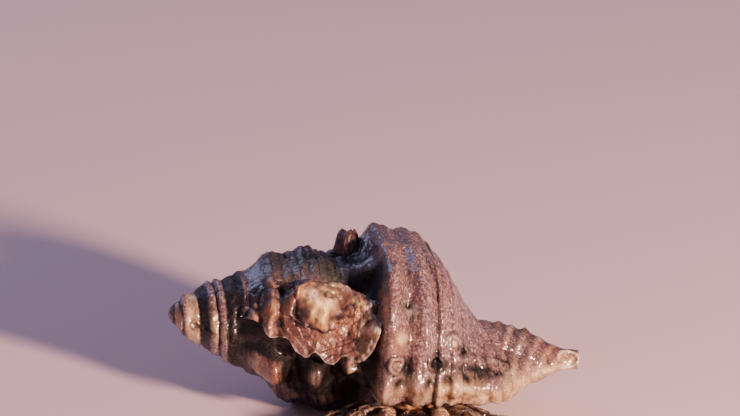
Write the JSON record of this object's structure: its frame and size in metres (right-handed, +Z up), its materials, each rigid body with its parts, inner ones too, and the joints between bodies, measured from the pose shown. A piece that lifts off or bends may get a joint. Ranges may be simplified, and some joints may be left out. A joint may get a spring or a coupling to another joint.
{
  "type": "hermit crab",
  "caption": "Still, life-size hermit crab facing forward from beneath the lip of its worn, knobbed spindle-shaped sea snail shell, which carries an old oyster valve and a barnacle.",
  "frame": {"origin": "on the floor under the middle of the whole model", "axes": "+X along the shell towards its open canal, -Y the way the crab faces, +Z up"},
  "size_m": [0.0782, 0.0616, 0.0343],
  "materials": {
    "snail_shell": null,
    "oyster_shell": "wet flaky oyster shell, cream and brown",
    "barnacle_plate": "rough dark barnacle plates",
    "leg_plate": "wet dark greenish-brown shell skin with pale stripes",
    "claw_plate": "wet brown granular shell skin with dark fingertips",
    "shield_plate": "wet mottled olive shell skin",
    "soft_body": "soft moist skin",
    "eyestalk_skin": "smooth striped shell skin",
    "eye_surface": "polished black",
    "feeler": "smooth orange, ringed"
  },
  "bodies": {
    "root": {"shell_spire": "snail_shell", "shell_body_whorl": "snail_shell", "shell_siphonal_canal": "snail_shell", "oyster_valve": "oyster_shell", "barnacle": "barnacle_plate", "second_leg_right_merus": "leg_plate", "second_leg_right_carpus": "leg_plate", "second_leg_right_propodus": "leg_plate", "second_leg_right_dactyl": "leg_plate", "second_leg_left_merus": "leg_plate", "second_leg_left_carpus": "leg_plate", "second_leg_left_propodus": "leg_plate", "second_leg_left_dactyl": "leg_plate", "third_leg_right_merus": "leg_plate", "third_leg_right_carpus": "leg_plate", "third_leg_right_propodus": "leg_plate", "third_leg_right_dactyl": "leg_plate", "third_leg_left_merus": "leg_plate", "third_leg_left_carpus": "leg_plate", "third_leg_left_propodus": "leg_plate", "third_leg_left_dactyl": "leg_plate", "claw_right_arm": "claw_plate", "claw_right_wrist": "claw_plate", "claw_right_hand": "claw_plate", "claw_right_finger": "claw_plate", "claw_left_arm": "claw_plate", "claw_left_wrist": "claw_plate", "claw_left_hand": "claw_plate", "claw_left_finger": "claw_plate", "shield": "shield_plate", "thorax": "soft_body", "abdomen": "soft_body", "eyestalk_right": "eyestalk_skin", "eye_right": "eye_surface", "antennule_right": "feeler", "antenna_base_right": "feeler", "antenna_right": "feeler", "mouth_foot_right": "leg_plate", "fourth_leg_right": "leg_plate", "eyestalk_left": "eyestalk_skin", "eye_left": "eye_surface", "antennule_left": "feeler", "antenna_base_left": "feeler", "antenna_left": "feeler", "mouth_foot_left": "leg_plate", "fourth_leg_left": "leg_plate"}
  },
  "joints": []
}
